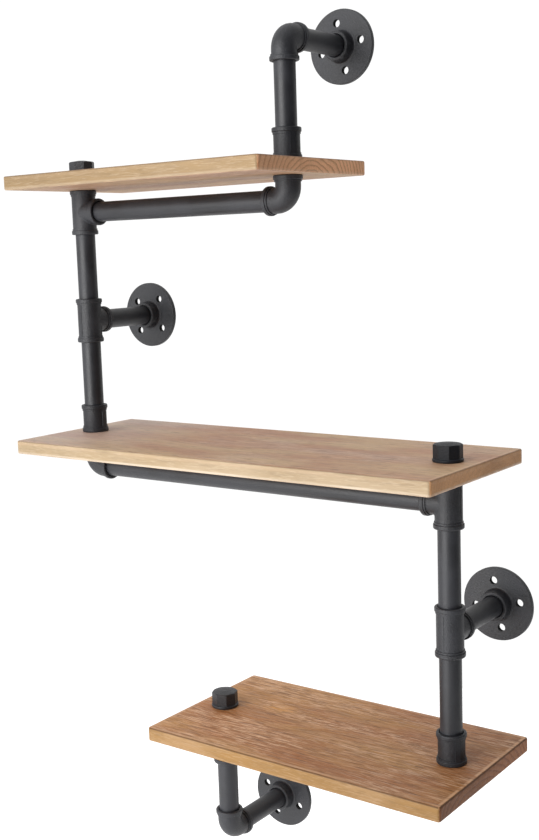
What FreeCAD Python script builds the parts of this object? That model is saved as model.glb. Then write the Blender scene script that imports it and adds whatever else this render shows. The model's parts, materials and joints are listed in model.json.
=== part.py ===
"""Three-tier wall shelf of threaded iron pipe and timber boards.

Frame: millimetres, +Z up, +Y into the wall, +X to the right as seen from the room. The wall is the
plane Y = 0, and the origin is the centre of the lowest wall flange on that plane. The pipe work lies
in one plane in front of the wall and snakes from the upper flange, along under each board, down to
the lower flange. Every board is pinched between a fitting below it and a coupling or cap above it,
on a short nipple that passes through the board.
"""

import FreeCAD
import Part

import os

import Sketcher

DIMENSIONS = {
    # pipe: three-quarter inch iron pipe
    "pipe_radius": 13.35,
    "pipe_bore_radius": 10.5,
    "thread_radius": 13.15,
    "thread_length": 12.0,
    "thread_pitch": 1.81,
    "thread_depth": 0.9,
    "thread_turns": 6,
    "thread_lead": 1.4,
    "thread_tip_chamfer": 0.8,
    "shoulder_entry": 1.0,
    # threaded sockets and the beads round their mouths
    "socket_radius": 13.25,
    "socket_depth": 14.0,
    "mouth_radius": 14.9,
    "mouth_depth": 1.8,
    "passage_radius": 11.5,
    "body_radius": 16.3,
    "bead_radius": 18.1,
    "bead_width": 5.6,
    "bead_round": 1.6,
    "bead_inner_round": 0.8,
    "collar_radius": 17.1,
    "collar_width": 2.4,
    # elbows and tees: centre to the end of a socket
    "fitting_reach": 30.0,
    "elbow_radius": 15.7,
    "elbow_collar_radius": 16.9,
    "bend_radius": 16.6,
    "branch_radius": 15.9,
    "seam_width": 0.9,
    "seam_radius": 16.7,
    "branch_blend": 2.2,
    # couplings
    "coupling_length": 38.0,
    "rib_width": 6.6,
    "rib_radius": 17.2,
    "rib_inset": 3.0,
    # caps
    "cap_height": 22.0,
    "cap_circumradius": 17.3,
    "cap_rim_height": 4.2,
    "cap_rim_round": 1.4,
    "cap_flat_radius": 6.0,
    "cap_crown_drop": 1.6,
    "cap_bevel": 1.6,
    # wall flanges
    "flange_radius": 46.5,
    "flange_thickness": 6.0,
    "flange_edge_round": 1.0,
    "hub_base_radius": 19.6,
    "hub_top_radius": 18.2,
    "hub_height": 20.0,
    "hub_blend": 2.5,
    "hub_edge_round": 1.9,
    "back_opening_radius": 12.0,
    "screw_hole_radius": 5.0,
    "screw_circle_radius": 30.0,
    # boards
    "board_thickness": 18.0,
    "board_front": 243.0,
    "board_back": 15.0,
    "board_hole_radius": 14.0,
    "board_edge_round": 2.0,
    "board_corner_round": 4.0,
    "board_end": 39.0,
    "top_board_left_end": 34.0,
    "bottom_board_right_end": 45.0,
    # layout of the pipe work
    "wall_distance": 130.0,
    "top_span": 346.0,
    "middle_span": 558.0,
    "bottom_span": 342.0,
    "riser_shown": 77.0,
    "left_pipe_shown": 88.0,
    "right_pipe_shown": 92.5,
    "drop_shown": 68.0,
}

# Places along X: the four vertical lines of pipe.
LOWER_X = "0"
RIGHT_X = "Sizes.bottom_span"
LEFT_X = "(Sizes.bottom_span - Sizes.middle_span)"
UPPER_X = "(Sizes.bottom_span - Sizes.middle_span + Sizes.top_span)"
# Distance of the pipe plane from the wall.
PIPE_Y = "(-Sizes.wall_distance)"
# Heights of the boards' top faces, and of the wall pipes.
LOWER_WALL_Z = "0"
BOTTOM_TOP_Z = "(3 * Sizes.fitting_reach + Sizes.drop_shown + Sizes.board_thickness)"
RIGHT_WALL_Z = f"({BOTTOM_TOP_Z} + Sizes.coupling_length + Sizes.right_pipe_shown + Sizes.fitting_reach)"
MIDDLE_TOP_Z = (
    f"({RIGHT_WALL_Z} + 3 * Sizes.fitting_reach + Sizes.right_pipe_shown + Sizes.board_thickness)"
)
LEFT_WALL_Z = f"({MIDDLE_TOP_Z} + Sizes.coupling_length + Sizes.left_pipe_shown + Sizes.fitting_reach)"
TOP_TOP_Z = (
    f"({LEFT_WALL_Z} + 3 * Sizes.fitting_reach + Sizes.left_pipe_shown + Sizes.board_thickness)"
)
UPPER_WALL_Z = f"({TOP_TOP_Z} + Sizes.coupling_length + Sizes.riser_shown + Sizes.fitting_reach)"

# Directions a part's own +Z axis can point to, as rotations.
UPRIGHT = FreeCAD.Rotation()
ALONG_X = FreeCAD.Rotation(FreeCAD.Vector(0, 1, 0), 90)
FROM_WALL = FreeCAD.Rotation(FreeCAD.Vector(1, 0, 0), 90)

doc = FreeCAD.newDocument("PipeShelf")
sheet = doc.addObject("Spreadsheet::Sheet", "Sizes")
parts = []


def fill_sheet():
    """Each driving dimension is a plain number in column B, with its name as the cell's alias."""
    for row, (alias, number) in enumerate(DIMENSIONS.items(), start=1):
        sheet.set(f"A{row}", alias)
        sheet.set(f"B{row}", str(number))
        sheet.setAlias(f"B{row}", alias)
    doc.recompute()


def measure(expression):
    """The present value of an expression in the sheet's dimensions, as a plain number."""
    found = sheet.evalExpression(expression)
    return float(getattr(found, "Value", found))


def length(expression):
    """The same expression as a length, for properties that refuse a number without a unit."""
    return f"({expression}) * 1 mm"


def origin_feature(body, role):
    return next(f for f in body.Origin.OriginFeatures if f.Role == role)


def new_body(label):
    body = doc.addObject("PartDesign::Body", label)
    body.Label = label
    parts.append(body)
    return body


def new_sketch(body, name, role):
    sketch = body.newObject("Sketcher::SketchObject", name)
    sketch.AttachmentSupport = [(origin_feature(body, role), "")]
    sketch.MapMode = "FlatFace"
    return sketch


def hold_distance(sketch, kind, geometry, point, expression):
    """Keeps a point's distance from the sketch's origin along X or Y equal to an expression."""
    distance = measure(expression)
    if abs(distance) < 1e-9:
        axis = -2 if kind == "DistanceX" else -1
        sketch.addConstraint(Sketcher.Constraint("PointOnObject", geometry, point, axis))
        return
    if distance > 0:
        constraint = Sketcher.Constraint(kind, -1, 1, geometry, point, distance)
    else:
        constraint = Sketcher.Constraint(kind, geometry, point, -1, 1, -distance)
        expression = f"-({expression})"
    number = sketch.addConstraint(constraint)
    sketch.setExpression(f"Constraints[{number}]", expression)


def draw_outline(sketch, corners):
    """A closed outline of straight lines whose corners are pairs of expressions."""
    points = [FreeCAD.Vector(measure(x), measure(y), 0) for x, y in corners]
    count = len(points)
    for index in range(count):
        sketch.addGeometry(Part.LineSegment(points[index], points[(index + 1) % count]), False)
    for index, (x, y) in enumerate(corners):
        sketch.addConstraint(Sketcher.Constraint("Coincident", index, 2, (index + 1) % count, 1))
        hold_distance(sketch, "DistanceX", index, 1, x)
        hold_distance(sketch, "DistanceY", index, 1, y)


def draw_circle(sketch, x, y, radius):
    centre = FreeCAD.Vector(measure(x), measure(y), 0)
    circle = sketch.addGeometry(Part.Circle(centre, FreeCAD.Vector(0, 0, 1), measure(radius)), False)
    hold_distance(sketch, "DistanceX", circle, 3, x)
    hold_distance(sketch, "DistanceY", circle, 3, y)
    number = sketch.addConstraint(Sketcher.Constraint("Radius", circle, measure(radius)))
    sketch.setExpression(f"Constraints[{number}]", radius)


def turn(body, kind, name, corners, axis="V_Axis"):
    """A Revolution or Groove of an outline in the body's XZ plane, about that sketch's own axis."""
    sketch = new_sketch(body, name + "_outline", "XZ_Plane")
    draw_outline(sketch, corners)
    feature = body.newObject("PartDesign::" + kind, name)
    feature.Profile = sketch
    feature.ReferenceAxis = (sketch, [axis])
    feature.Angle = 360.0
    return feature


def round_edges(body, name, base, radius, wanted):
    """Fillets the edges of a feature that pass a test."""
    doc.recompute()
    names = [f"Edge{n}" for n, edge in enumerate(base.Shape.Edges, start=1) if wanted(edge)]
    fillet = body.newObject("PartDesign::Fillet", name)
    fillet.Base = (base, names)
    fillet.setExpression("Radius", radius)
    return fillet


def is_ring(edge, radius):
    """A full circle of that radius, given as an expression."""
    return isinstance(edge.Curve, Part.Circle) and abs(edge.Curve.Radius - measure(radius)) < 1e-4


def place(part, x, y, z, rotation):
    part.Placement = FreeCAD.Placement(FreeCAD.Vector(0, 0, 0), rotation)
    for axis, expression in (("x", x), ("y", y), ("z", z)):
        part.setExpression(f"Placement.Base.{axis}", length(expression))


def facing(port_x, port_z):
    """The rotation that sends a part's own +X and +Z axes to two perpendicular directions."""
    across = FreeCAD.Vector(*port_x)
    up = FreeCAD.Vector(*port_z)
    return FreeCAD.Rotation(across, up.cross(across), up, "ZXY")


def about_z(degrees):
    return FreeCAD.Rotation(FreeCAD.Vector(0, 0, 1), degrees)


def cut_thread(body, name, start, backwards):
    """Six V-shaped rings that stand for a pipe's thread, the first of them at a height start."""
    half = "0.42 * Sizes.thread_pitch"
    outside = "Sizes.thread_radius + 0.05"
    ring = turn(
        body,
        "Groove",
        name,
        [
            (outside, f"{start} - {half}"),
            ("Sizes.thread_radius - Sizes.thread_depth", start),
            (outside, f"{start} + {half}"),
        ],
    )
    doc.recompute()
    row = body.newObject("PartDesign::LinearPattern", name + "_row")
    row.Originals = [ring]
    row.Direction = (origin_feature(body, "Z_Axis"), [""])
    row.Reversed = backwards
    row.setExpression("Length", length("Sizes.thread_pitch * (Sizes.thread_turns - 1)"))
    row.setExpression("Occurrences", "Sizes.thread_turns")
    body.Tip = row


def make_pipe(label, shown, x, y, z, rotation):
    """A pipe centred on its own origin, threaded at both ends; shown is its length between fittings."""
    body = new_body(label)
    shoulder = f"({shown} / 2 + Sizes.shoulder_entry)"
    end = f"({shoulder} + Sizes.thread_length)"
    tip = "Sizes.thread_radius - Sizes.thread_tip_chamfer"
    turn(
        body,
        "Revolution",
        label + "_wall",
        [
            ("Sizes.pipe_bore_radius", f"-{end}"),
            (tip, f"-{end}"),
            ("Sizes.thread_radius", f"-({end} - Sizes.thread_tip_chamfer)"),
            ("Sizes.thread_radius", f"-{shoulder}"),
            ("Sizes.pipe_radius", f"-{shoulder}"),
            ("Sizes.pipe_radius", shoulder),
            ("Sizes.thread_radius", shoulder),
            ("Sizes.thread_radius", f"{end} - Sizes.thread_tip_chamfer"),
            (tip, end),
            ("Sizes.pipe_bore_radius", end),
        ],
    )
    doc.recompute()
    cut_thread(body, label + "_far_thread", f"({end} - Sizes.thread_lead)", True)
    cut_thread(body, label + "_near_thread", f"(-({end} - Sizes.thread_lead))", False)
    place(body, x, y, z, rotation)


def socket_outline(mouth, inward):
    """Half section of a threaded socket's hollow; inward is the sign of the way from mouth to floor."""
    floor = f"({mouth} {inward} Sizes.socket_depth)"
    return [
        ("0", floor),
        ("Sizes.socket_radius", floor),
        ("Sizes.socket_radius", f"({mouth} {inward} Sizes.mouth_depth)"),
        ("Sizes.mouth_radius", mouth),
        ("0", mouth),
    ]


def arm_outline(start, end, radius, collar):
    """Half section of a fitting's arm: a plain barrel, a low collar and the bead round its mouth."""
    bead = f"{end} - Sizes.bead_width"
    step = f"{bead} - Sizes.collar_width"
    return [
        ("0", start),
        (radius, start),
        (radius, step),
        (collar, step),
        (collar, bead),
        ("Sizes.bead_radius", bead),
        ("Sizes.bead_radius", end),
        ("0", end),
    ]


def mirrored(outline):
    """The same half section below the origin, walked back to front so that the two join up."""
    return [(radius, f"-({height})") for radius, height in reversed(outline)]


def across(outline):
    """Swaps an outline's two coordinates, so that it turns about the X axis instead of Z."""
    return [(height, radius) for radius, height in outline]


def bend(body, kind, name, radius):
    """A quarter ring from the arm along +Z to the arm along +X, added to or cut from a body."""
    sketch = new_sketch(body, name + "_section", "XY_Plane")
    sketch.setExpression("AttachmentOffset.Base.z", length("Sizes.bend_radius"))
    draw_circle(sketch, "0", "0", radius)
    reach = measure("Sizes.bend_radius")
    low = FreeCAD.Vector(reach, -1, 0)
    high = FreeCAD.Vector(reach, 1, 0)
    line = sketch.addGeometry(Part.LineSegment(low, high), True)
    sketch.addConstraint(Sketcher.Constraint("Vertical", line))
    hold_distance(sketch, "DistanceX", line, 1, "Sizes.bend_radius")
    sketch.addConstraint(Sketcher.Constraint("DistanceY", line, 1, -1, 1, 1.0))
    sketch.addConstraint(Sketcher.Constraint("DistanceY", -1, 1, line, 2, 1.0))
    feature = body.newObject("PartDesign::" + kind, name)
    feature.Profile = sketch
    feature.ReferenceAxis = (sketch, ["Axis0"])
    feature.Angle = 90.0
    feature.Reversed = True
    doc.recompute()
    return feature


def is_bead_edge(edge):
    return is_ring(edge, "Sizes.bead_radius")


def rings_at(heights):
    """A test for the bead's rings whose centres lie at given distances from the part's origin."""
    wanted = [measure(height) for height in heights]

    def test(edge):
        return is_bead_edge(edge) and any(abs(edge.Curve.Center.Length - w) < 1e-4 for w in wanted)

    return test


def round_beads(body, label, base, mouths, shoulders):
    """Rounds the beads: fully at the fitting's mouths, slightly where they stand on the collar."""
    lips = round_edges(body, label + "_lips", base, "Sizes.bead_round", rings_at(mouths))
    return round_edges(body, label + "_beads", lips, "Sizes.bead_inner_round", rings_at(shoulders))


def make_elbow(label, x, y, z, rotation):
    """A ninety degree elbow with its sockets facing its own +Z and +X."""
    body = new_body(label)
    start = "Sizes.bend_radius"
    reach = "Sizes.fitting_reach"
    outline = arm_outline(start, reach, "Sizes.elbow_radius", "Sizes.elbow_collar_radius")
    turn(body, "Revolution", label + "_arm_z", outline)
    doc.recompute()
    bend(body, "Revolution", label + "_bend", "Sizes.elbow_radius")
    turn(body, "Revolution", label + "_arm_x", across(outline), "H_Axis")
    doc.recompute()
    bend(body, "Groove", label + "_passage", "Sizes.passage_radius")
    turn(body, "Groove", label + "_socket_z", socket_outline(reach, "-"))
    doc.recompute()
    hollow = turn(body, "Groove", label + "_socket_x", across(socket_outline(reach, "-")), "H_Axis")
    round_beads(body, label, hollow, [reach], [f"{reach} - Sizes.bead_width"])
    place(body, x, y, z, rotation)


def make_tee(label, x, y, z, rotation):
    """A tee with its run along its own Z axis and its branch facing +X."""
    body = new_body(label)
    reach = "Sizes.fitting_reach"
    outline = arm_outline("0", reach, "Sizes.body_radius", "Sizes.collar_radius")[2:]
    turn(body, "Revolution", label + "_run", mirrored(outline) + outline)
    doc.recompute()
    branch_outline = arm_outline("0", reach, "Sizes.branch_radius", "Sizes.collar_radius")
    branch = turn(body, "Revolution", label + "_branch", across(branch_outline), "H_Axis")
    blend = round_edges(body, label + "_crotch", branch, "Sizes.branch_blend", is_crotch_edge)
    doc.recompute()
    round_beads(body, label, blend, [reach], [f"{reach} - Sizes.bead_width"])
    doc.recompute()
    seam = new_sketch(body, label + "_seam_section", "XY_Plane")
    seam.setExpression("AttachmentOffset.Base.z", length(f"Sizes.bead_width - {reach}"))
    half = "(Sizes.seam_width / 2)"
    draw_outline(
        seam,
        [
            ("-Sizes.seam_radius", f"-{half}"),
            ("-Sizes.pipe_radius", f"-{half}"),
            ("-Sizes.pipe_radius", half),
            ("-Sizes.seam_radius", half),
        ],
    )
    ridge = body.newObject("PartDesign::Pad", label + "_seam")
    ridge.Profile = seam
    ridge.setExpression("Length", length(f"2 * ({reach} - Sizes.bead_width)"))
    doc.recompute()
    turn(
        body,
        "Groove",
        label + "_run_hollow",
        [
            ("0", f"-{reach}"),
            ("Sizes.mouth_radius", f"-{reach}"),
            ("Sizes.socket_radius", f"-({reach} - Sizes.mouth_depth)"),
            ("Sizes.socket_radius", f"-({reach} - Sizes.socket_depth)"),
            ("Sizes.passage_radius", f"-({reach} - Sizes.socket_depth)"),
            ("Sizes.passage_radius", f"{reach} - Sizes.socket_depth"),
            ("Sizes.socket_radius", f"{reach} - Sizes.socket_depth"),
            ("Sizes.socket_radius", f"{reach} - Sizes.mouth_depth"),
            ("Sizes.mouth_radius", reach),
            ("0", reach),
        ],
    )
    doc.recompute()
    turn(
        body,
        "Groove",
        label + "_branch_hollow",
        [
            ("0", "0"),
            ("0", "Sizes.passage_radius"),
            (f"{reach} - Sizes.socket_depth", "Sizes.passage_radius"),
            (f"{reach} - Sizes.socket_depth", "Sizes.socket_radius"),
            (f"{reach} - Sizes.mouth_depth", "Sizes.socket_radius"),
            (reach, "Sizes.mouth_radius"),
            (reach, "0"),
        ],
        "H_Axis",
    )
    place(body, x, y, z, rotation)


def is_crotch_edge(edge):
    """The curve where a tee's branch leaves its run: neither straight nor a circle."""
    return not isinstance(edge.Curve, (Part.Line, Part.Circle))


def make_coupling(label, x, z, degrees):
    """A ribbed coupling that stands on a board's top face; its own origin is its lower end."""
    body = new_body(label)
    end = "Sizes.coupling_length"
    upper = arm_outline("0", end, "Sizes.body_radius", "Sizes.collar_radius")[2:]
    lower = [(radius, f"({end} - ({height}))") for radius, height in reversed(upper)]
    turn(body, "Revolution", label + "_shell", lower + upper)
    doc.recompute()
    shoulders = ["Sizes.bead_width", f"{end} - Sizes.bead_width"]
    round_beads(body, label, body.Tip, ["0", end], shoulders)
    ribs = new_sketch(body, label + "_rib_section", "XY_Plane")
    ribs.setExpression("AttachmentOffset.Base.z", length("Sizes.rib_inset"))
    half = "(Sizes.rib_width / 2)"
    draw_outline(
        ribs,
        [
            ("-Sizes.rib_radius", f"-{half}"),
            ("Sizes.rib_radius", f"-{half}"),
            ("Sizes.rib_radius", half),
            ("-Sizes.rib_radius", half),
        ],
    )
    pad = body.newObject("PartDesign::Pad", label + "_ribs")
    pad.Profile = ribs
    pad.setExpression("Length", length(f"{end} - 2 * Sizes.rib_inset"))
    doc.recompute()
    floor = "Sizes.socket_depth"
    turn(
        body,
        "Groove",
        label + "_hollow",
        [
            ("0", "0"),
            ("Sizes.mouth_radius", "0"),
            ("Sizes.socket_radius", "Sizes.mouth_depth"),
            ("Sizes.socket_radius", floor),
            ("Sizes.passage_radius", floor),
            ("Sizes.passage_radius", f"{end} - {floor}"),
            ("Sizes.socket_radius", f"{end} - {floor}"),
            ("Sizes.socket_radius", f"{end} - Sizes.mouth_depth"),
            ("Sizes.mouth_radius", end),
            ("0", end),
        ],
    )
    place(body, x, PIPE_Y, z, about_z(degrees))


def make_cap(label, x, z, degrees):
    """An eight-sided cap that stands on a board's top face, with a round rim at its open end."""
    body = new_body(label)
    rim = turn(
        body,
        "Revolution",
        label + "_rim",
        [
            ("0", "0"),
            ("Sizes.bead_radius", "0"),
            ("Sizes.bead_radius", "Sizes.cap_rim_height"),
            ("0", "Sizes.cap_rim_height"),
        ],
    )
    round_edges(body, label + "_rim_edge", rim, "Sizes.cap_rim_round", is_bead_edge)
    plan = new_sketch(body, label + "_plan", "XY_Plane")
    plan.setExpression("AttachmentOffset.Base.z", length("Sizes.cap_rim_height / 2"))
    radius = "Sizes.cap_circumradius"
    draw_outline(plan, [(f"{radius} * cos({45 * n})", f"{radius} * sin({45 * n})") for n in range(8)])
    pad = body.newObject("PartDesign::Pad", label + "_octagon")
    pad.Profile = plan
    pad.setExpression("Length", length("Sizes.cap_height - Sizes.cap_rim_height / 2"))
    doc.recompute()
    top = "Sizes.cap_height"
    turn(
        body,
        "Groove",
        label + "_crown",
        [
            ("Sizes.cap_flat_radius", f"{top} + 1"),
            ("Sizes.cap_flat_radius", top),
            (f"{radius} - Sizes.cap_bevel", f"{top} - Sizes.cap_crown_drop"),
            (f"{radius} + 1", f"{top} - Sizes.cap_crown_drop - Sizes.cap_bevel"),
            (f"{radius} + 1", f"{top} + 1"),
        ],
    )
    doc.recompute()
    turn(body, "Groove", label + "_socket", socket_outline("0", "+"))
    place(body, x, PIPE_Y, z, about_z(degrees))


def make_flange(label, x, z, degrees):
    """A round wall flange; its own +Z runs out from the wall along the hub."""
    body = new_body(label)
    rim = "Sizes.flange_radius"
    plate = "Sizes.flange_thickness"
    top = "Sizes.hub_height"
    turned = turn(
        body,
        "Revolution",
        label + "_blank",
        [
            ("0", "0"),
            (rim, "0"),
            (rim, plate),
            ("Sizes.hub_base_radius", plate),
            ("Sizes.hub_top_radius", top),
            ("0", top),
        ],
    )
    outer = round_edges(
        body, label + "_rim_edge", turned, "Sizes.flange_edge_round", lambda edge: is_ring(edge, rim)
    )
    foot = round_edges(
        body,
        label + "_hub_foot",
        outer,
        "Sizes.hub_blend",
        lambda edge: is_ring(edge, "Sizes.hub_base_radius"),
    )
    round_edges(
        body,
        label + "_hub_lip",
        foot,
        "Sizes.hub_edge_round",
        lambda edge: is_ring(edge, "Sizes.hub_top_radius"),
    )
    doc.recompute()
    turn(
        body,
        "Groove",
        label + "_hollow",
        [
            ("0", "0"),
            ("Sizes.back_opening_radius", "0"),
            ("Sizes.back_opening_radius", f"{top} - Sizes.socket_depth"),
            ("Sizes.socket_radius", f"{top} - Sizes.socket_depth"),
            ("Sizes.socket_radius", f"{top} - Sizes.mouth_depth"),
            ("Sizes.mouth_radius", top),
            ("0", top),
        ],
    )
    doc.recompute()
    plan = new_sketch(body, label + "_screw_hole_plan", "XY_Plane")
    draw_circle(plan, "Sizes.screw_circle_radius", "0", "Sizes.screw_hole_radius")
    hole = body.newObject("PartDesign::Pocket", label + "_screw_hole")
    hole.Profile = plan
    hole.Type = "ThroughAll"
    hole.Reversed = True
    doc.recompute()
    ring = body.newObject("PartDesign::PolarPattern", label + "_screw_holes")
    ring.Originals = [hole]
    ring.Axis = (origin_feature(body, "Z_Axis"), [""])
    ring.Angle = 360.0
    ring.Occurrences = 4
    body.Tip = ring
    place(body, x, "0", z, FROM_WALL.multiply(about_z(degrees)))


def make_board(label, left, right, holes, top):
    """A board from one X to another, drilled for the two nipples that pass through it."""
    body = new_body(label)
    front = "(-Sizes.board_front)"
    back = "(-Sizes.board_back)"
    plan = new_sketch(body, label + "_plan", "XY_Plane")
    draw_outline(plan, [(left, front), (right, front), (right, back), (left, back)])
    plank = body.newObject("PartDesign::Pad", label + "_plank")
    plank.Profile = plan
    plank.setExpression("Length", length("Sizes.board_thickness"))
    corners = round_edges(body, label + "_corners", plank, "Sizes.board_corner_round", is_upright)
    round_edges(body, label + "_edges", corners, "Sizes.board_edge_round", is_level)
    doc.recompute()
    drilled = new_sketch(body, label + "_hole_plan", "XY_Plane")
    for x in holes:
        draw_circle(drilled, x, PIPE_Y, "Sizes.board_hole_radius")
    pocket = body.newObject("PartDesign::Pocket", label + "_holes")
    pocket.Profile = drilled
    pocket.Type = "ThroughAll"
    pocket.Reversed = True
    place(body, "0", "0", f"{top} - Sizes.board_thickness", UPRIGHT)


def is_upright(edge):
    """An edge that runs from a board's lower face to its upper face."""
    return edge.BoundBox.ZLength > 1


def is_level(edge):
    """An edge of a board's lower or upper face."""
    return edge.BoundBox.ZLength < 1e-6


def write_parts():
    """Checks every object and writes one STEP file for each sub-part."""
    doc.recompute()
    for item in doc.Objects:
        faults = {"Invalid", "Error"} & set(item.State)
        if faults:
            raise RuntimeError(f"{item.Name}: {sorted(faults)}")
    os.makedirs("parts", exist_ok=True)
    for part in parts:
        if part.Shape.isNull() or not part.Shape.isValid():
            raise RuntimeError(f"{part.Label}: its shape is not valid")
        part.Shape.exportStep(f"parts/{part.Label}.step")


fill_sheet()

SHELF_CENTRE = "(Sizes.board_thickness + Sizes.fitting_reach)"
TOP_PIPE_Z = f"({TOP_TOP_Z} - {SHELF_CENTRE})"
MIDDLE_PIPE_Z = f"({MIDDLE_TOP_Z} - {SHELF_CENTRE})"
BOTTOM_PIPE_Z = f"({BOTTOM_TOP_Z} - {SHELF_CENTRE})"

RIGHT_AND_UP = facing((1, 0, 0), (0, 0, 1))
LEFT_AND_UP = facing((-1, 0, 0), (0, 0, 1))
WALL_AND_UP = facing((0, 1, 0), (0, 0, 1))
WALL_AND_DOWN = facing((0, 1, 0), (0, 0, -1))

# Boards, from the top down.
make_board(
    "top_board",
    f"({LEFT_X} - Sizes.top_board_left_end)",
    f"({UPPER_X} + Sizes.board_end)",
    (LEFT_X, UPPER_X),
    TOP_TOP_Z,
)
make_board(
    "middle_board",
    f"({LEFT_X} - Sizes.board_end)",
    f"({RIGHT_X} + Sizes.board_end)",
    (LEFT_X, RIGHT_X),
    MIDDLE_TOP_Z,
)
make_board(
    "bottom_board",
    "(-Sizes.board_end)",
    f"({RIGHT_X} + Sizes.bottom_board_right_end)",
    (LOWER_X, RIGHT_X),
    BOTTOM_TOP_Z,
)

# Where the pipe work meets the wall: name, X, Z, and the turn of the flange's screw holes.
WALL_POINTS = (
    ("top", UPPER_X, UPPER_WALL_Z, 11),
    ("left", LEFT_X, LEFT_WALL_Z, 50),
    ("right", RIGHT_X, RIGHT_WALL_Z, 10),
    ("bottom", LOWER_X, LOWER_WALL_Z, 68),
)
WALL_PIPE_SHOWN = "(Sizes.wall_distance - Sizes.fitting_reach - Sizes.hub_height)"
for side, x, z, degrees in WALL_POINTS:
    make_flange("wall_flange_" + side, x, z, degrees)
    middle = f"(-Sizes.hub_height - {WALL_PIPE_SHOWN} / 2)"
    make_pipe("wall_pipe_" + side, WALL_PIPE_SHOWN, x, middle, z, FROM_WALL)

# Elbows and tees.
make_elbow("top_wall_elbow", UPPER_X, PIPE_Y, UPPER_WALL_Z, WALL_AND_DOWN)
make_elbow("top_shelf_elbow", UPPER_X, PIPE_Y, TOP_PIPE_Z, LEFT_AND_UP)
make_elbow("middle_shelf_elbow", LEFT_X, PIPE_Y, MIDDLE_PIPE_Z, RIGHT_AND_UP)
make_elbow("bottom_shelf_elbow", RIGHT_X, PIPE_Y, BOTTOM_PIPE_Z, LEFT_AND_UP)
make_elbow("bottom_wall_elbow", LOWER_X, PIPE_Y, LOWER_WALL_Z, WALL_AND_UP)
make_tee("top_shelf_tee", LEFT_X, PIPE_Y, TOP_PIPE_Z, RIGHT_AND_UP)
make_tee("left_wall_tee", LEFT_X, PIPE_Y, LEFT_WALL_Z, WALL_AND_UP)
make_tee("middle_shelf_tee", RIGHT_X, PIPE_Y, MIDDLE_PIPE_Z, LEFT_AND_UP)
make_tee("right_wall_tee", RIGHT_X, PIPE_Y, RIGHT_WALL_Z, WALL_AND_UP)
make_tee("bottom_shelf_tee", LOWER_X, PIPE_Y, BOTTOM_PIPE_Z, RIGHT_AND_UP)

# Couplings and caps stand on the boards: name, X, board top, turn about the upright axis.
for name, x, z, degrees in (
    ("top_coupling", UPPER_X, TOP_TOP_Z, -30),
    ("middle_coupling", LEFT_X, MIDDLE_TOP_Z, 3),
    ("bottom_coupling", RIGHT_X, BOTTOM_TOP_Z, -36),
):
    make_coupling(name, x, z, degrees)
for name, x, z, degrees in (
    ("top_cap", LEFT_X, TOP_TOP_Z, 9),
    ("middle_cap", RIGHT_X, MIDDLE_TOP_Z, -13),
    ("bottom_cap", LOWER_X, BOTTOM_TOP_Z, 0),
):
    make_cap(name, x, z, degrees)

# Short nipples hidden in the boards, one under each coupling and cap.
for name, x, z in (
    ("top_coupling_nipple", UPPER_X, TOP_TOP_Z),
    ("top_cap_nipple", LEFT_X, TOP_TOP_Z),
    ("middle_coupling_nipple", LEFT_X, MIDDLE_TOP_Z),
    ("middle_cap_nipple", RIGHT_X, MIDDLE_TOP_Z),
    ("bottom_coupling_nipple", RIGHT_X, BOTTOM_TOP_Z),
    ("bottom_cap_nipple", LOWER_X, BOTTOM_TOP_Z),
):
    middle = f"({z} - Sizes.board_thickness / 2)"
    make_pipe(name, "Sizes.board_thickness", x, PIPE_Y, middle, UPRIGHT)

# Upright pipes: name, X, height of the fitting centre above, length between fittings.
for name, x, above, shown in (
    ("riser_pipe", UPPER_X, UPPER_WALL_Z, "Sizes.riser_shown"),
    ("left_upper_pipe", LEFT_X, TOP_PIPE_Z, "Sizes.left_pipe_shown"),
    ("left_lower_pipe", LEFT_X, LEFT_WALL_Z, "Sizes.left_pipe_shown"),
    ("right_upper_pipe", RIGHT_X, MIDDLE_PIPE_Z, "Sizes.right_pipe_shown"),
    ("right_lower_pipe", RIGHT_X, RIGHT_WALL_Z, "Sizes.right_pipe_shown"),
    ("drop_pipe", LOWER_X, BOTTOM_PIPE_Z, "Sizes.drop_shown"),
):
    middle = f"({above} - Sizes.fitting_reach - {shown} / 2)"
    make_pipe(name, shown, x, PIPE_Y, middle, UPRIGHT)

# Level pipes that carry the boards: name, left end's X, span between fitting centres, height.
for name, left, span, z in (
    ("top_cross_pipe", LEFT_X, "Sizes.top_span", TOP_PIPE_Z),
    ("middle_cross_pipe", LEFT_X, "Sizes.middle_span", MIDDLE_PIPE_Z),
    ("bottom_cross_pipe", LOWER_X, "Sizes.bottom_span", BOTTOM_PIPE_Z),
):
    shown = f"({span} - 2 * Sizes.fitting_reach)"
    make_pipe(name, shown, f"({left} + {span} / 2)", PIPE_Y, z, ALONG_X)

write_parts()
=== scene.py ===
import json
import math
from types import SimpleNamespace

import bpy
from mathutils import Matrix, Vector


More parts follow.
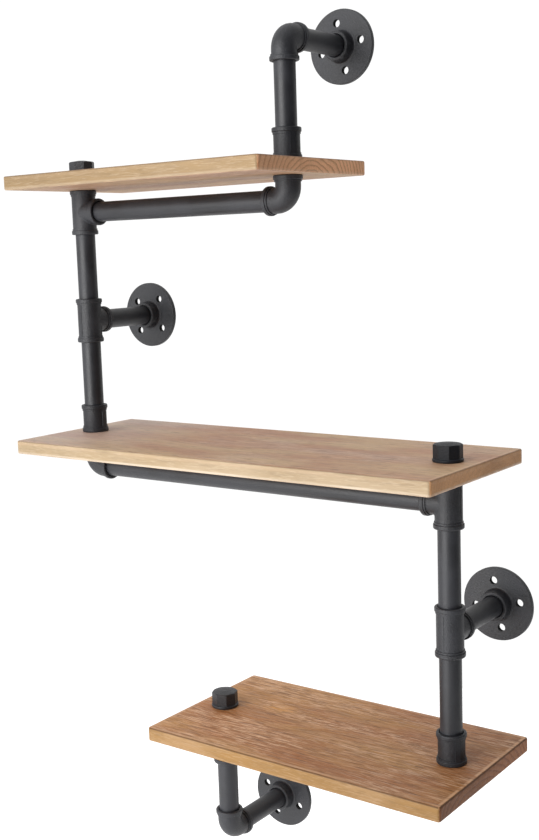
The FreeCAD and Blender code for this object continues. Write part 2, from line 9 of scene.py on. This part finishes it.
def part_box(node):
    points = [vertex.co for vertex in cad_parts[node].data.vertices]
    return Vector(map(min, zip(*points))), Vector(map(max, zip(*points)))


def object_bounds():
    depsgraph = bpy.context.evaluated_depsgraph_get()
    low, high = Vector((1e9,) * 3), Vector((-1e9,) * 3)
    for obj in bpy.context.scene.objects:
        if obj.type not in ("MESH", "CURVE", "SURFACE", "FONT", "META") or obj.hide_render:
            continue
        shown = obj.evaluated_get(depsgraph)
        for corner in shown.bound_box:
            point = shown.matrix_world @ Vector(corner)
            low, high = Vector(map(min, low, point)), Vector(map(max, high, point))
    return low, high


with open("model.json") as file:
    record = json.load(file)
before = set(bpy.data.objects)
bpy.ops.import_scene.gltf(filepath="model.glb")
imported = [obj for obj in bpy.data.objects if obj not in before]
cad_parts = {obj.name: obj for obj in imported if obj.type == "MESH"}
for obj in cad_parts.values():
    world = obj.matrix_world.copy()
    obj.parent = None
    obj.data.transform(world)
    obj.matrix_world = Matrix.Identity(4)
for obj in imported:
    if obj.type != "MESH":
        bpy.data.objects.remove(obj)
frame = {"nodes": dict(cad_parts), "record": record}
CAD_BOX = [list(corner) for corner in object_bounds()]

# Black coats: pebbles per metre, their relief in metres, colour, roughness, strength of the highlights. The
# middle cap has a darker one than the other fittings.
CASTING = dict(grain=480.0, relief=0.00050, tone=(0.0180, 0.0187, 0.0227), rough=0.48, shine=0.48)
COUPLING_COAT = dict(grain=480.0, relief=0.00050, tone=(0.0150, 0.0158, 0.0195), rough=0.48, shine=0.42)
CAP_COAT = dict(grain=480.0, relief=0.00050, tone=(0.0085, 0.0095, 0.0125), rough=0.50, shine=0.25)
PIPE_COAT = dict(grain=620.0, relief=0.00012, tone=(0.0172, 0.0179, 0.0220), rough=0.46, shine=0.50)

# Radii in metres, from a wall flange's axis, over which the ring of its screw holes begins and ends.
HOLE_RING_START = (0.0236, 0.0244)
HOLE_RING_END = (0.0368, 0.0360)

# The boards' woods. top, edge and end are the colours of the faces, long edges and sawn ends, pith the Y and
# Z of the tree's heart from the board's centre, rings the growth rings per metre, end_rings how dark they are
# on the sawn ends, and seed the shift that makes each board's grain its own. brushed is the strength of the
# pale wire-brushed fibres and of the painted glints on them, arris the darkness of the upper arrises, and
# worn the strength of a painted highlight along the lower arrises, broken into scuff-like patches.
# fade is how much lighter the faces and the edges are at the -X end than in the middle, and the sawn ends at
# the back. haze is the strength of a painted sheen, in which the faces go pale grey towards the -X end as a
# reflection of the room would, and knot the X and Y of a golden eye in the grain, from the board's centre.
BOARDS = {
    "top_board": SimpleNamespace(
        top=(0.37, 0.21, 0.12), edge=(0.280, 0.186, 0.092), end=(0.80, 0.43, 0.23),
        pith=(-0.009, -0.045), rings=150.0, end_rings=0.75, seed=4.7,
        brushed=0.5, arris=0.3, lower_highlight=0.45, fade=(0.0, -0.13, 0.04), painted_sheen=0.0, knot=None,
    ),
    "middle_board": SimpleNamespace(
        top=(0.45, 0.265, 0.16), edge=(0.345, 0.250, 0.146), end=(0.53, 0.28, 0.13),
        pith=(0.05, -0.07), rings=140.0, end_rings=0.15, seed=9.3,
        brushed=0.35, arris=0.35, lower_highlight=0.7, fade=(0.06, 0.0, 0.0), painted_sheen=0.30, knot=None,
    ),
    "bottom_board": SimpleNamespace(
        top=(0.350, 0.150, 0.047), edge=(0.27, 0.145, 0.044), end=(0.26, 0.100, 0.034),
        pith=(-0.03, -0.09), rings=120.0, end_rings=0.7, seed=1.9,
        brushed=0.85, arris=0.75, lower_highlight=0.15, fade=(0.16, 0.08, 0.30), painted_sheen=0.0, knot=(-0.100, 0.027),
    ),
}
WANDER = 0.014  # how far the grain strays from side to side, in metres
RING_DRIFT = 0.060  # how far the growth rings drift in and out along a board, in metres
RING_RIPPLE = 0.005  # how far they ripple in and out, in metres
KNOT_REACH = (0.030, 0.016)  # half the golden eye's length and width, in metres
PAINTED_SHEEN_GREY = (0.55, 0.52, 0.54)  # the pale grey of a painted sheen, standing in for a reflection of the room
SIDE_TURN = (0.55, 0.85)  # how squarely a surface faces a side as that side's colour comes in
WOOD_SHINE = 0.30  # strength of the highlights
WOOD_RELIEF = 0.0006  # in metres

# Distances in metres from an arris, over which a band of rubbed fibres begins and ends, and over which
# gathered stain and the painted highlight on the lower arrises end.
RUBBED_START = (0.0014, 0.0024)
RUBBED_END = (0.0065, 0.0040)
STAIN_END = (0.0018, 0.0010)
LOWER_HIGHLIGHT_END = (0.0042, 0.0022)

FLOOR_SIZE = 3.6
FLOOR_DROP = 0.45  # from the object's lowest point to the floor, in metres
FLOOR_GLOW = 0.45  # strength of the floor's own light
WHITE = (1.0, 1.0, 1.0, 1.0)
BACKDROP = 1.05  # strength of the white that the camera sees

# The room's light: its strength in general and on the darker side, and how much more comes from overhead.
ROOM_LIGHT = 0.95
DARK_LIGHT = 0.12
DARK_SIDE = (0.97, -0.24, 0.0)
OVERHEAD_LIGHT = 0.2

# The camera stands round to the right, looks a little down, and is tilted by almost two degrees.
AZIMUTH, ELEVATION, ROLL = (math.radians(angle) for angle in (36.65, -8.05, -1.90))
AIM = Vector((0.00935, 0.01557, 0.04884))  # the point it looks at, from the object's middle
DISTANCE = 1.5577  # from the camera to that point, in metres
LENS = 51.97  # in millimetres, on a sensor 36 mm wide


def tint(colour, factors, lifts=(0.0, 0.0, 0.0)):
    """A colour with each channel scaled and then lifted by its own amount."""
    return tuple(min(1.0, factor * c + lift) for c, factor, lift in zip(colour, factors, lifts))


def shade(colour, factor, lift=0.0):
    """A colour made lighter or darker, with one factor and one lift for all channels."""
    return tint(colour, (factor,) * 3, (lift,) * 3)


class Nodes:
    """A node tree with short calls for adding nodes and wiring them."""

    def __init__(self, tree):
        self.tree = tree
        tree.nodes.clear()

    def put(self, socket, value):
        """Links a socket to another node's output, or sets it to a constant."""
        if isinstance(value, bpy.types.NodeSocket):
            self.tree.links.new(value, socket)
        else:
            socket.default_value = value

    def add(self, kind, inputs=None, **settings):
        node = self.tree.nodes.new(kind)
        for key, value in settings.items():
            setattr(node, key, value)
        for key, value in (inputs or {}).items():
            self.put(node.inputs[key], value)
        return node

    def maths(self, operation, *values):
        return self.add("ShaderNodeMath", dict(enumerate(values)), operation=operation).outputs[0]

    def plus(self, first, second):
        return self.maths("ADD", first, second)

    def minus(self, first, second):
        return self.maths("SUBTRACT", first, second)

    def times(self, first, second):
        return self.maths("MULTIPLY", first, second)

    def over(self, first, second):
        return self.maths("DIVIDE", first, second)

    def absolute(self, value):
        return self.maths("ABSOLUTE", value)

    def distance(self, first, second):
        """How far a point is from the origin, from its two coordinates."""
        squares = [self.maths("POWER", coordinate, 2.0) for coordinate in (first, second)]
        return self.maths("SQRT", self.plus(*squares))

    def axes(self, vector):
        """A vector's X, Y and Z."""
        return tuple(self.add("ShaderNodeSeparateXYZ", {"Vector": vector}).outputs)

    def place_from(self, origin, place):
        """A place, measured from an origin."""
        node = self.add("ShaderNodeVectorMath", {0: place, 1: origin}, operation="SUBTRACT")
        return node.outputs["Vector"]

    def towards(self, direction, vector):
        """How far a vector goes in a direction."""
        node = self.add("ShaderNodeVectorMath", {0: vector, 1: direction}, operation="DOT_PRODUCT")
        return node.outputs["Value"]

    def noise(self, place, scale, detail, roughness):
        sockets = {"Vector": place, "Scale": scale, "Detail": detail, "Roughness": roughness}
        return self.add("ShaderNodeTexNoise", sockets).outputs[0]

    def streaks(self, place, rates, detail, roughness, shift=(0.0, 0.0, 0.0)):
        """Noise stretched along X. rates are its features per metre along X and across it."""
        along, across = rates
        sockets = {"Vector": place, "Scale": (along, across, across), "Location": shift}
        return self.noise(self.add("ShaderNodeMapping", sockets).outputs[0], 1.0, detail, roughness)

    def ramp(self, value, low, high, start=0.0, end=1.0, smooth=True):
        """Maps value from low..high to start..end, clamped."""
        sockets = {"Value": value, "From Min": low, "From Max": high, "To Min": start, "To Max": end}
        interpolation = "SMOOTHSTEP" if smooth else "LINEAR"
        return self.add("ShaderNodeMapRange", sockets, interpolation_type=interpolation).outputs[0]

    def band(self, value, rise, fall):
        """Rises from 0 to 1 over one stretch of the value, and is back at 0 after another."""
        return self.times(self.ramp(value, *rise), self.ramp(value, *fall))

    def mix(self, factor, first, second, blend="MIX"):
        node = self.add("ShaderNodeMix", {"Factor": factor}, data_type="RGBA", blend_type=blend)
        for key, value in (("A", first), ("B", second)):
            socket = [s for s in node.inputs if s.name == key and s.type == "RGBA"][0]
            self.put(socket, value if isinstance(value, bpy.types.NodeSocket) else (*value, 1.0))
        return [s for s in node.outputs if s.type == "RGBA"][0]

    def layered(self, colour, *layers):
        """A colour with others laid over it in turn, each given by its strength and its colour."""
        for strength, layer in layers:
            colour = self.mix(strength, colour, layer)
        return colour


def new_material(name):
    """A material, its nodes, its shader, and the outputs that say where a point is and how it faces."""
    material = bpy.data.materials.new(name)
    material.use_nodes = True
    nodes = Nodes(material.node_tree)
    shader = nodes.add("ShaderNodeBsdfPrincipled")
    nodes.add("ShaderNodeOutputMaterial", {"Surface": shader.outputs[0]})
    return material, nodes, shader, nodes.add("ShaderNodeTexCoord").outputs


def set_surface(nodes, shader, colour, roughness, shine, height, relief, strength=1.0):
    """Gives a shader its colour, roughness and highlights, and bumps from a height, relief metres deep."""
    nodes.put(shader.inputs["Base Color"], colour)
    nodes.put(shader.inputs["Roughness"], roughness)
    nodes.put(shader.inputs["Specular IOR Level"], shine)
    bump = nodes.add("ShaderNodeBump", {"Height": height, "Strength": strength, "Distance": relief})
    nodes.put(shader.inputs["Normal"], bump.outputs[0])


def halfway(low, high):
    """The centre of a box."""
    return tuple((a + b) / 2 for a, b in zip(low, high))


# Metal.
def screw_hole_walls(nodes, point, flange):
    """1 on the walls of a wall flange's screw holes and 0 elsewhere. The flange's axis runs along Y."""
    low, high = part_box(flange)
    place = nodes.axes(nodes.place_from(halfway(low, high), point["Object"]))
    ring = nodes.band(nodes.distance(place[0], place[2]), HOLE_RING_START, HOLE_RING_END)
    along_axis = nodes.absolute(nodes.axes(point["Normal"])[1])
    return nodes.times(ring, nodes.ramp(along_axis, 0.5, 0.2))


def black_metal(name, grain, relief, tone, rough, shine, flange=None):
    """Matte black coat on iron, and for a wall flange its screw holes' walls made near black as painted
    shade.
    """
    material, nodes, shader, point = new_material(name)
    broad = nodes.noise(point["Object"], 24.0, 3.0, 0.55)
    pebbles = nodes.noise(point["Object"], grain, 3.0, 0.6)
    specks = nodes.noise(point["Object"], 2.3 * grain, 1.0, 0.5)
    colour = nodes.layered(
        shade(tone, 0.75),
        (nodes.ramp(broad, 0.35, 0.65), shade(tone, 1.25)),
        (nodes.ramp(specks, 0.62, 0.76, 0.0, 0.5), shade(tone, 3.2)),
    )
    roughness = nodes.plus(
        nodes.ramp(broad, 0.3, 0.7, rough - 0.05, rough + 0.05), nodes.ramp(pebbles, 0.3, 0.7, -0.05, 0.05)
    )
    if flange:
        # Painted shade: the walls of the screw holes go near black and matt, as shade falls inside the holes.
        wall = screw_hole_walls(nodes, point, flange)
        colour = nodes.mix(wall, colour, shade(tone, 0.12))
        roughness = nodes.maths("MAXIMUM", roughness, nodes.times(wall, 0.95))
    height = nodes.plus(pebbles, nodes.times(specks, 0.35))
    set_surface(nodes, shader, colour, roughness, shine, height, relief)
    return material


# Wood.
def wood_grain(nodes, local, look):
    """The patterns in one solid block of softwood whose grain runs along X, and the place in it.

    local is the place from the board's centre. Each noise has its features per metre along and across the
    grain, its detail, its roughness and its shift.
    """
    seed = look.seed
    x, y, z = nodes.axes(local)
    # Most patterns follow a grain that wanders a little from side to side.
    wander = nodes.streaks(local, (4.0, 14.0), 2.0, 0.5, (seed, 0, 0))
    wander = nodes.times(nodes.minus(wander, 0.5), WANDER)
    waved = nodes.add("ShaderNodeCombineXYZ", {"X": x, "Y": nodes.plus(y, wander), "Z": z}).outputs[0]
    # Growth rings round the heart, stretched into long flames where a face cuts across them.
    drift = nodes.streaks(local, (2.4, 7.0), 2.0, 0.5, (seed, 3.0, 0))
    ripple = nodes.streaks(local, (8.0, 70.0), 2.0, 0.5, (0, seed, 0))
    radius = nodes.distance(nodes.minus(y, look.pith[0]), nodes.minus(z, look.pith[1]))
    radius = nodes.plus(radius, nodes.times(nodes.minus(drift, 0.5), RING_DRIFT))
    radius = nodes.plus(radius, nodes.times(ripple, RING_RIPPLE))
    phase = nodes.maths("FRACT", nodes.times(radius, look.rings))
    # Long veins are the contour lines of a slow noise.
    vein = nodes.streaks(waved, (3.2, 34.0), 3.0, 0.55, (seed, 0, 0))
    vein = nodes.maths("FRACT", nodes.times(vein, 9.0))
    return SimpleNamespace(
        x=x,
        y=y,
        z=z,
        late=nodes.band(phase, (0.30, 0.90), (0.99, 0.93)),
        ring_line=nodes.band(phase, (0.48, 0.90), (1.0, 0.94)),
        vein=nodes.band(vein, (0.40, 0.80), (1.0, 0.86)),
        coarse=nodes.streaks(waved, (7.0, 95.0), 3.0, 0.6, (seed, 0, 0)),
        fibre=nodes.streaks(waved, (22.0, 330.0), 3.0, 0.65, (0, seed, 0)),
        fleck=nodes.streaks(waved, (38.0, 480.0), 3.0, 0.65, (seed, seed, 5.0)),
        fine=nodes.streaks(waved, (60.0, 900.0), 2.0, 0.6),
        pores=nodes.streaks(waved, (40.0, 420.0), 2.0, 0.5, (0, 0, seed)),
        blotch=nodes.streaks(local, (4.0, 14.0), 3.0, 0.55, (seed, seed, 0)),
        patch=nodes.streaks(local, (5.0, 16.0), 2.0, 0.5, (0, seed, seed)),
        grit=nodes.streaks(local, (150.0, 700.0), 2.0, 0.6),
    )


def pale_fibre(look):
    """The colour of brushed fibres on the faces."""
    return tint(look.top, (0.95, 0.95, 0.95), (0.235, 0.200, 0.155))


def pale_edge(look):
    """The colour of the long edges where they took the least stain."""
    return shade(look.edge, 1.1, 0.10)


def knot_layers(nodes, grain, look):
    """A golden eye with a darker rim."""
    along = nodes.over(nodes.minus(grain.x, look.knot[0]), KNOT_REACH[0])
    across = nodes.over(nodes.minus(grain.y, look.knot[1]), KNOT_REACH[1])
    eye = nodes.plus(nodes.distance(along, across), nodes.times(nodes.minus(grain.coarse, 0.5), 0.9))
    rim = nodes.band(eye, (0.95, 1.15), (1.45, 1.20))
    return (
        (nodes.ramp(eye, 1.05, 0.55, 0.0, 0.8), tint(look.top, (1.45, 1.60, 1.25))),
        (nodes.times(rim, 0.30), shade(look.top, 0.60)),
    )


def face_colour(nodes, grain, look):
    """Stained faces: golden, reddish and greyer patches, pale brushed flecks and painted glints in open
    grain.
    """
    top, brushed, pale = look.top, look.brushed, pale_fibre(look)
    golden = tint(top, (1.13, 1.29, 1.20))
    reddish = tint(top, (0.92, 0.80, 0.78))
    greyish = tint(top, (0.86, 0.95, 1.15), (0.02, 0.02, 0.02))
    open_grain = nodes.ramp(grain.patch, 0.42, 0.58, 0.22, 1.05)
    flecks = nodes.times(nodes.ramp(grain.fleck, 0.52, 0.56, 0.0, 0.85 * brushed), open_grain)
    hairs = nodes.times(nodes.ramp(grain.fibre, 0.55, 0.59, 0.0, 0.50 * brushed), open_grain)
    # Painted glints: the palest flecks, lifted further, as brushed fibres catching the light.
    painted_glints = nodes.times(nodes.ramp(grain.fleck, 0.57, 0.60, 0.0, 0.40 * brushed), open_grain)
    return nodes.layered(
        reddish,
        (nodes.ramp(grain.blotch, 0.38, 0.62), golden),
        (nodes.ramp(grain.patch, 0.48, 0.66, 0.0, 0.75 - 0.45 * brushed), greyish),
        *(knot_layers(nodes, grain, look) if look.knot else ()),
        (nodes.times(grain.late, 0.20 * brushed), shade(top, 0.55)),
        (nodes.times(grain.vein, 0.20 * brushed), pale),
        (nodes.ramp(grain.coarse, 0.48, 0.36, 0.0, 0.20 * brushed), shade(top, 0.55)),
        (nodes.ramp(grain.fibre, 0.47, 0.42, 0.0, 0.20 + 0.35 * brushed), shade(top, 0.45)),
        (flecks, pale),
        (hairs, pale),
        (nodes.ramp(grain.fine, 0.52, 0.64, 0.0, 0.35 * brushed), shade(pale, 1.15)),
        (painted_glints, shade(pale, 1.0, 0.12)),
        (nodes.ramp(grain.pores, 0.58, 0.68, 0.0, 0.60), shade(top, 0.35)),
    )


def edge_colour(nodes, grain, look):
    """The long edges took less stain: honey with soft grain lines and paler patches."""
    edge, pale = look.edge, pale_edge(look)
    return nodes.layered(
        shade(edge, 0.93),
        (nodes.ramp(grain.blotch, 0.36, 0.64), shade(edge, 1.05)),
        (nodes.times(grain.late, 0.14), shade(edge, 0.66)),
        (nodes.ramp(grain.patch, 0.45, 0.62, 0.0, 0.30), pale),
        (nodes.ramp(grain.fine, 0.54, 0.62, 0.0, 0.40), pale),
        (nodes.ramp(grain.fibre, 0.46, 0.40, 0.0, 0.22), shade(edge, 0.62)),
        (nodes.ramp(grain.pores, 0.60, 0.72, 0.0, 0.35), shade(edge, 0.55)),
    )


def end_colour(nodes, grain, look):
    """Sawn ends: the rings seen end on, with open pores."""
    end = look.end
    return nodes.layered(
        shade(end, 0.86),
        (nodes.ramp(grain.blotch, 0.3, 0.7), shade(end, 1.14)),
        (nodes.times(grain.ring_line, look.end_rings), tint(end, (0.55, 0.43, 0.36))),
        (nodes.ramp(grain.grit, 0.50, 0.70, 0.0, 0.45), shade(end, 0.65)),
        (nodes.ramp(grain.grit, 0.45, 0.32, 0.0, 0.35), shade(end, 1.40)),
    )


def faded(nodes, colour, place, amount):
    """A colour that is lighter by amount where place is -1, and darker by as much where it is 1."""
    fall = nodes.ramp(place, -1.0, 1.0, 1.0 + amount, 1.0 - amount, smooth=False)
    return nodes.mix(1.0, colour, fall, "MULTIPLY")


def arris_layers(nodes, grain, look, half, level):
    """Fibres rubbed pale inside the upper arrises, stain on them, and a patchy painted highlight on the lower
    ones.

    half is half the board's size along each axis, and level how flat the surface lies, from 0 to 1.
    """
    to_side = nodes.minus(half[1], nodes.absolute(grain.y))
    to_end = nodes.minus(half[0], nodes.absolute(grain.x))
    nearest = nodes.maths("MINIMUM", to_side, to_end)
    off_top = nodes.distance(nodes.minus(half[2], grain.z), nearest)
    off_bottom = nodes.distance(nodes.plus(half[2], grain.z), nearest)
    rubbed = nodes.band(off_top, RUBBED_START, RUBBED_END)
    rubbed = nodes.times(rubbed, nodes.ramp(grain.coarse, 0.40, 0.52, 0.2 * look.arris, 0.9 * look.arris))
    rubbed = nodes.times(rubbed, nodes.ramp(level, 0.50, 0.80, 0.85 - look.brushed, 1.0))
    # Painted highlight: a pale band along the lower arrises, broken up by the coarse grain so that it looks
    # like scuffs.
    painted_lower_highlight = nodes.ramp(off_bottom, *LOWER_HIGHLIGHT_END)
    painted_lower_highlight = nodes.times(painted_lower_highlight, nodes.ramp(grain.coarse, 0.40, 0.52, 0.35, look.lower_highlight))
    return (
        (rubbed, pale_fibre(look)),
        (nodes.times(painted_lower_highlight, look.lower_highlight), shade(pale_edge(look), 1.0, 0.22)),
        (nodes.ramp(off_top, *STAIN_END, 0.0, look.arris), shade(look.top, 0.20)),
    )


def board_wood(name, node, look):
    """Stained softwood for one board, cut from one solid block whose grain runs along X."""
    low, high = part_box(node)
    half = tuple((b - a) / 2 for a, b in zip(low, high))
    material, nodes, shader, point = new_material(name)
    grain = wood_grain(nodes, nodes.place_from(halfway(low, high), point["Object"]), look)
    along = nodes.over(grain.x, half[0])
    back = nodes.over(grain.y, half[1])
    end_facing, edge_facing, level = (nodes.absolute(part) for part in nodes.axes(point["Normal"]))
    faces = faded(nodes, face_colour(nodes, grain, look), along, look.fade[0])
    # Painted sheen: the faces go pale grey towards the -X end, standing in for a reflection of the room.
    if look.painted_sheen:
        faces = nodes.mix(nodes.ramp(along, -0.25, -0.95, 0.0, look.painted_sheen), faces, PAINTED_SHEEN_GREY)
    edges = faded(nodes, edge_colour(nodes, grain, look), along, look.fade[1])
    ends = faded(nodes, end_colour(nodes, grain, look), back, -look.fade[2])
    colour = nodes.layered(
        faces,
        (nodes.ramp(edge_facing, *SIDE_TURN), edges),
        (nodes.ramp(end_facing, *SIDE_TURN), ends),
        *arris_layers(nodes, grain, look, half, level),
    )
    height = nodes.plus(grain.fibre, nodes.times(grain.coarse, 0.8))
    height = nodes.minus(height, nodes.times(grain.late, 0.25))
    roughness = nodes.ramp(grain.fibre, 0.3, 0.7, 0.50, 0.66)
    set_surface(nodes, shader, colour, roughness, WOOD_SHINE, height, WOOD_RELIEF, 0.8)
    return material


def dress(node, material):
    """Gives a CAD node's object one material in every slot."""
    piece = frame["nodes"][node]
    if not piece.data.materials:
        piece.data.materials.append(material)
    for slot in piece.material_slots:
        slot.material = material


casting = black_metal("black_casting", **CASTING)
coupling_coat = black_metal("black_coupling_coat", **COUPLING_COAT)
cap_coat = black_metal("black_cap_coat", **CAP_COAT)
pipe_coat = black_metal("black_pipe_coat", **PIPE_COAT)
for part in frame["record"]["subparts"]:
    node = part["node"]
    if node.startswith("wall_flange"):
        dress(node, black_metal("black_" + node, **CASTING, flange=node))
    elif node == "middle_cap":
        dress(node, cap_coat)
    elif node.endswith("_coupling"):
        dress(node, coupling_coat)
    elif part["material_slot"] == "black_fitting":
        dress(node, casting)
    elif part["material_slot"] == "black_pipe":
        dress(node, pipe_coat)
for node, look in BOARDS.items():
    dress(node, board_wood(node + "_wood", node, look))

low, high = (Vector(corner) for corner in CAD_BOX)
middle = (low + high) / 2

# Floor: white, and lit a little from within, so that it stays as pale as the room.
bpy.ops.mesh.primitive_plane_add(size=FLOOR_SIZE, location=(middle.x, middle.y, low.z - FLOOR_DROP))
floor = bpy.context.object
floor.name = "floor"
floor_paint, nodes, shader, point = new_material("pale_floor")
tone = nodes.mix(nodes.noise(point["Object"], 1.5, 2.0, 0.5), (0.86, 0.86, 0.86), (0.9, 0.9, 0.9))
nodes.put(shader.inputs["Base Color"], tone)
shader.inputs["Roughness"].default_value = 0.9
shader.inputs["Emission Color"].default_value = WHITE
shader.inputs["Emission Strength"].default_value = FLOOR_GLOW
floor.data.materials.append(floor_paint)

# Room: white to look at. Its light is stronger from the left and behind than from the right in front.
world = bpy.data.worlds.new("studio")
bpy.context.scene.world = world
world.use_nodes = True
sky = Nodes(world.node_tree)
direction = sky.add("ShaderNodeTexCoord").outputs["Generated"]
around = sky.ramp(sky.towards(DARK_SIDE, direction), -0.05, 0.75, ROOM_LIGHT, DARK_LIGHT)
overhead = sky.ramp(sky.towards((0.0, 0.0, 1.0), direction), 0.2, 1.0, 0.0, OVERHEAD_LIGHT)
lit = sky.add("ShaderNodeBackground", {"Color": WHITE, "Strength": sky.plus(around, overhead)})
seen = sky.add("ShaderNodeBackground", {"Color": WHITE, "Strength": BACKDROP})
from_camera = sky.add("ShaderNodeLightPath").outputs["Is Camera Ray"]
blend = sky.add("ShaderNodeMixShader", {0: from_camera, 1: lit.outputs[0], 2: seen.outputs[0]})
sky.add("ShaderNodeOutputWorld", {"Surface": blend.outputs[0]})


def soft_box(name, offset, width, height, power):
    """An upright area light that faces the object's middle."""
    lamp = bpy.data.lights.new(name, "AREA")
    lamp.shape = "RECTANGLE"
    lamp.size = width
    lamp.size_y = height
    lamp.energy = power
    box = bpy.data.objects.new(name, lamp)
    box.location = middle + Vector(offset)
    box.rotation_euler = Vector((-offset[0], -offset[1], 0.0)).to_track_quat("-Z", "Y").to_euler()
    bpy.context.collection.objects.link(box)


soft_box("key", offset=(-0.5, -2.7, 0.45), width=2.2, height=2.7, power=100.0)

# Camera.
forward = Vector((
    -math.sin(AZIMUTH) * math.cos(ELEVATION),
    math.cos(AZIMUTH) * math.cos(ELEVATION),
    math.sin(ELEVATION),
))
level = Vector((math.cos(AZIMUTH), math.sin(AZIMUTH), 0.0))
upright = level.cross(forward)
right = level * math.cos(ROLL) + upright * math.sin(ROLL)
up = upright * math.cos(ROLL) - level * math.sin(ROLL)
lens = bpy.data.cameras.new("camera")
lens.sensor_width = 36.0
lens.lens = LENS
camera = bpy.data.objects.new("camera", lens)
turned = Matrix((right, up, -forward)).transposed().to_4x4()
camera.matrix_world = Matrix.Translation(middle + AIM - forward * DISTANCE) @ turned
bpy.context.collection.objects.link(camera)
bpy.context.scene.camera = camera
bpy.context.scene.view_settings.view_transform = "Standard"
